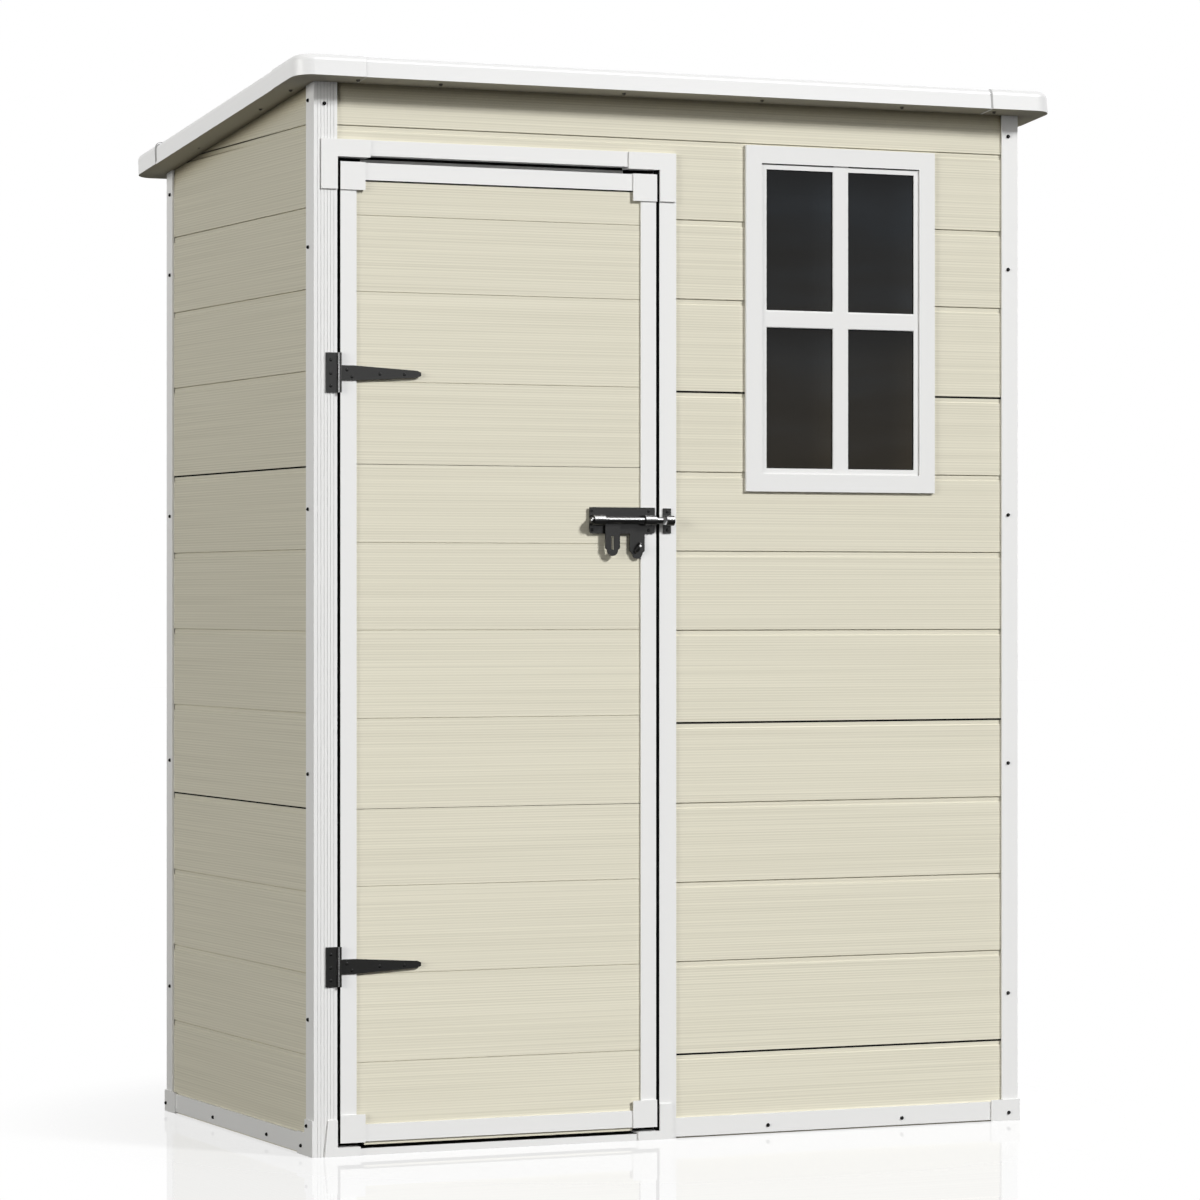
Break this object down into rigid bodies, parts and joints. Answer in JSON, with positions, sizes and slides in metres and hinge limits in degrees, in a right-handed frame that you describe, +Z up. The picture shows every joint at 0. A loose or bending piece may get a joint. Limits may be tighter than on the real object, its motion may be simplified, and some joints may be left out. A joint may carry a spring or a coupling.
{
  "type": "resin garden shed",
  "caption": "Lean-to resin garden shed with board-pattern panel walls, white trims, a sloping roof, an outward door on strap hinges with a sliding bolt, and a four-pane window.",
  "frame": {"origin": "on the ground under the middle of the roof", "axes": "+X along the front from the door to the window, +Y from the front into the shed, +Z up"},
  "size_m": [1.504, 0.901, 1.9232],
  "materials": {
    "boards": "moulded board pattern with fine level lines, beige",
    "trims": "smooth extruded, white",
    "roof": "smooth moulded, white",
    "window_glass": "smooth, dark tinted",
    "black_hardware": "satin black coating",
    "rod": "dark polished steel"
  },
  "bodies": {
    "root": {"front_wall_base": "boards", "front_wall_lower": "boards", "front_wall_middle": "boards", "front_wall_upper": "boards", "front_wall_header": "boards", "left_wall_lower": "boards", "left_wall_middle": "boards", "left_wall_upper": "boards", "right_wall_lower": "boards", "right_wall_middle": "boards", "right_wall_upper": "boards", "back_wall_lower": "boards", "back_wall_middle": "boards", "back_wall_upper": "boards", "door_post": "trims", "front_right_post": "trims", "back_left_post": "trims", "back_right_post": "trims", "door_jamb": "trims", "head_rail": "trims", "head_corners": "trims", "threshold": "trims", "door_feet": "trims", "front_base_rail": "trims", "left_base_rail": "trims", "right_base_rail": "trims", "back_base_rail": "trims", "base_corners": "trims", "window_frame": "trims", "window_sash": "trims", "window_glass": "window_glass", "roof_panel": "roof", "front_roof_trim": "roof", "back_roof_trim": "roof", "left_roof_trim": "roof", "right_roof_trim": "roof", "roof_corner_caps": "roof", "hinge_plates": "black_hardware", "keeper": "black_hardware"},
    "door": {"door_panel_lower": "boards", "door_panel_middle": "boards", "door_panel_upper": "boards", "door_stiles": "trims", "door_rails": "trims", "door_corner_caps": "trims", "hinge_straps": "black_hardware", "bolt_plate": "black_hardware"},
    "bolt": {"bolt_rod": "rod"},
    "hasp": {"hasp": "black_hardware"}
  },
  "joints": [
    {"name": "door_hinge", "type": "hinge", "parent": "root", "child": "door", "pos_m": [-0.65535, -0.4047, 0.85], "axis": [0, 0, -1], "range_deg": [0, 120]},
    {"name": "bolt_slide", "type": "slide", "parent": "door", "child": "bolt", "axis": [1, 0, 0], "range_m": [0, 0.024]},
    {"name": "hasp_turn", "type": "hinge", "parent": "bolt", "child": "hasp", "pos_m": [-0.1355, -0.4124, 1.117], "axis": [-1, 0, 0], "range_deg": [0, 150]}
  ]
}
